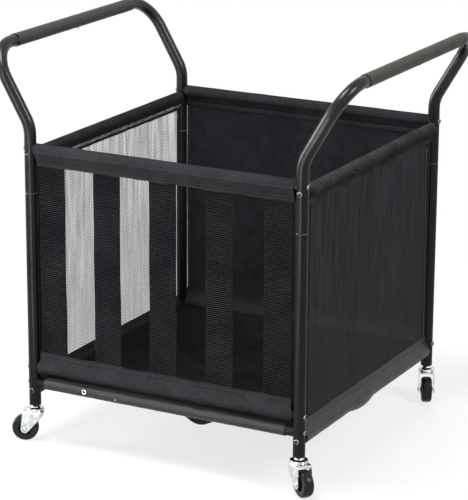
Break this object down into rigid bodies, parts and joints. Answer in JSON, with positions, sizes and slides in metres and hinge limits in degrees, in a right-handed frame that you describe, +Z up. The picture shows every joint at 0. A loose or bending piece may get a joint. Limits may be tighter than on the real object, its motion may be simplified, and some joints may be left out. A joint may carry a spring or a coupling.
{
  "type": "ball cart",
  "caption": "Rolling ball cart: black tube frame with flared side handles, a fabric bag with mesh sides and elastic front straps, and swivel casters.",
  "frame": {"origin": "centre of the footprint on the floor that the wheels stand on", "axes": "+X to the right along the strap front, +Y to the back panel, +Z up"},
  "size_m": [0.7274, 0.6184, 0.7447],
  "materials": {
    "frame_tube": "black powder coat, semi-gloss",
    "grip_foam": "matt dark grey foam",
    "socket_plastic": "matt black",
    "caster_steel": "bright zinc plate",
    "wheel_rubber": "satin black",
    "oxford_cloth": "charcoal woven polyester",
    "mesh_cloth": "black open mesh",
    "back_cloth": "black woven polyester",
    "elastic_webbing": "black ribbed elastic"
  },
  "bodies": {
    "cart": {"post_front_left": "frame_tube", "post_front_right": "frame_tube", "post_back_right": "frame_tube", "post_back_left": "frame_tube", "handle_tube_front_left": "frame_tube", "handle_tube_front_right": "frame_tube", "handle_tube_back_right": "frame_tube", "handle_tube_back_left": "frame_tube", "grip_front_left": "grip_foam", "grip_front_right": "grip_foam", "grip_back_right": "grip_foam", "grip_back_left": "grip_foam", "stem_socket_front_left": "socket_plastic", "stem_socket_front_right": "socket_plastic", "stem_socket_back_right": "socket_plastic", "stem_socket_back_left": "socket_plastic", "caster_stem_front_left": "caster_steel", "caster_stem_front_right": "caster_steel", "caster_stem_back_right": "caster_steel", "caster_stem_back_left": "caster_steel", "rail_top_front": "frame_tube", "rail_top_back": "frame_tube", "rail_top_left": "frame_tube", "rail_top_right": "frame_tube", "rail_strap": "frame_tube", "rail_base_front": "frame_tube", "rail_base_back": "frame_tube", "rail_base_left": "frame_tube", "rail_base_right": "frame_tube", "hem_top_front": "oxford_cloth", "hem_top_back": "oxford_cloth", "hem_top_left": "oxford_cloth", "hem_top_right": "oxford_cloth", "hem_base_left": "oxford_cloth", "hem_base_right": "oxford_cloth", "hem_base_back": "oxford_cloth", "strap_band": "oxford_cloth", "floor_sleeve": "oxford_cloth", "mesh_panel_left": "mesh_cloth", "mesh_panel_right": "mesh_cloth", "floor_mesh": "mesh_cloth", "back_panel": "back_cloth", "strap_1": "elastic_webbing", "strap_2": "elastic_webbing", "strap_3": "elastic_webbing", "strap_4": "elastic_webbing", "strap_5": "elastic_webbing"},
    "fork_front_left": {"caster_fork_front_left": "caster_steel", "caster_axle_front_left": "caster_steel"},
    "wheel_front_left": {"caster_wheel_front_left": "wheel_rubber"},
    "fork_front_right": {"caster_fork_front_right": "caster_steel", "caster_axle_front_right": "caster_steel"},
    "wheel_front_right": {"caster_wheel_front_right": "wheel_rubber"},
    "fork_back_right": {"caster_fork_back_right": "caster_steel", "caster_axle_back_right": "caster_steel"},
    "wheel_back_right": {"caster_wheel_back_right": "wheel_rubber"},
    "fork_back_left": {"caster_fork_back_left": "caster_steel", "caster_axle_back_left": "caster_steel"},
    "wheel_back_left": {"caster_wheel_back_left": "wheel_rubber"}
  },
  "joints": [
    {"name": "caster_swivel_front_left", "type": "hinge", "parent": "cart", "child": "fork_front_left", "pos_m": [-0.2725, -0.2775, 0.0613], "axis": [0, 0, 1], "continuous": true},
    {"name": "wheel_spin_front_left", "type": "hinge", "parent": "fork_front_left", "child": "wheel_front_left", "pos_m": [-0.28949, -0.28579, 0.025], "axis": [0.4384, -0.8988, 0], "continuous": true},
    {"name": "caster_swivel_front_right", "type": "hinge", "parent": "cart", "child": "fork_front_right", "pos_m": [0.2725, -0.2775, 0.0613], "axis": [0, 0, 1], "continuous": true},
    {"name": "wheel_spin_front_right", "type": "hinge", "parent": "fork_front_right", "child": "wheel_front_right", "pos_m": [0.28779, -0.28861, 0.025], "axis": [0.5878, 0.809, 0], "continuous": true},
    {"name": "caster_swivel_back_right", "type": "hinge", "parent": "cart", "child": "fork_back_right", "pos_m": [0.2725, 0.2775, 0.0613], "axis": [0, 0, 1], "continuous": true},
    {"name": "wheel_spin_back_right", "type": "hinge", "parent": "fork_back_right", "child": "wheel_back_right", "pos_m": [0.28108, 0.26066, 0.025], "axis": [0.891, 0.454, 0], "continuous": true},
    {"name": "caster_swivel_back_left", "type": "hinge", "parent": "cart", "child": "fork_back_left", "pos_m": [-0.2725, 0.2775, 0.0613], "axis": [0, 0, 1], "continuous": true},
    {"name": "wheel_spin_back_left", "type": "hinge", "parent": "fork_back_left", "child": "wheel_back_left", "pos_m": [-0.28779, 0.28861, 0.025], "axis": [-0.5878, -0.809, 0], "continuous": true}
  ]
}
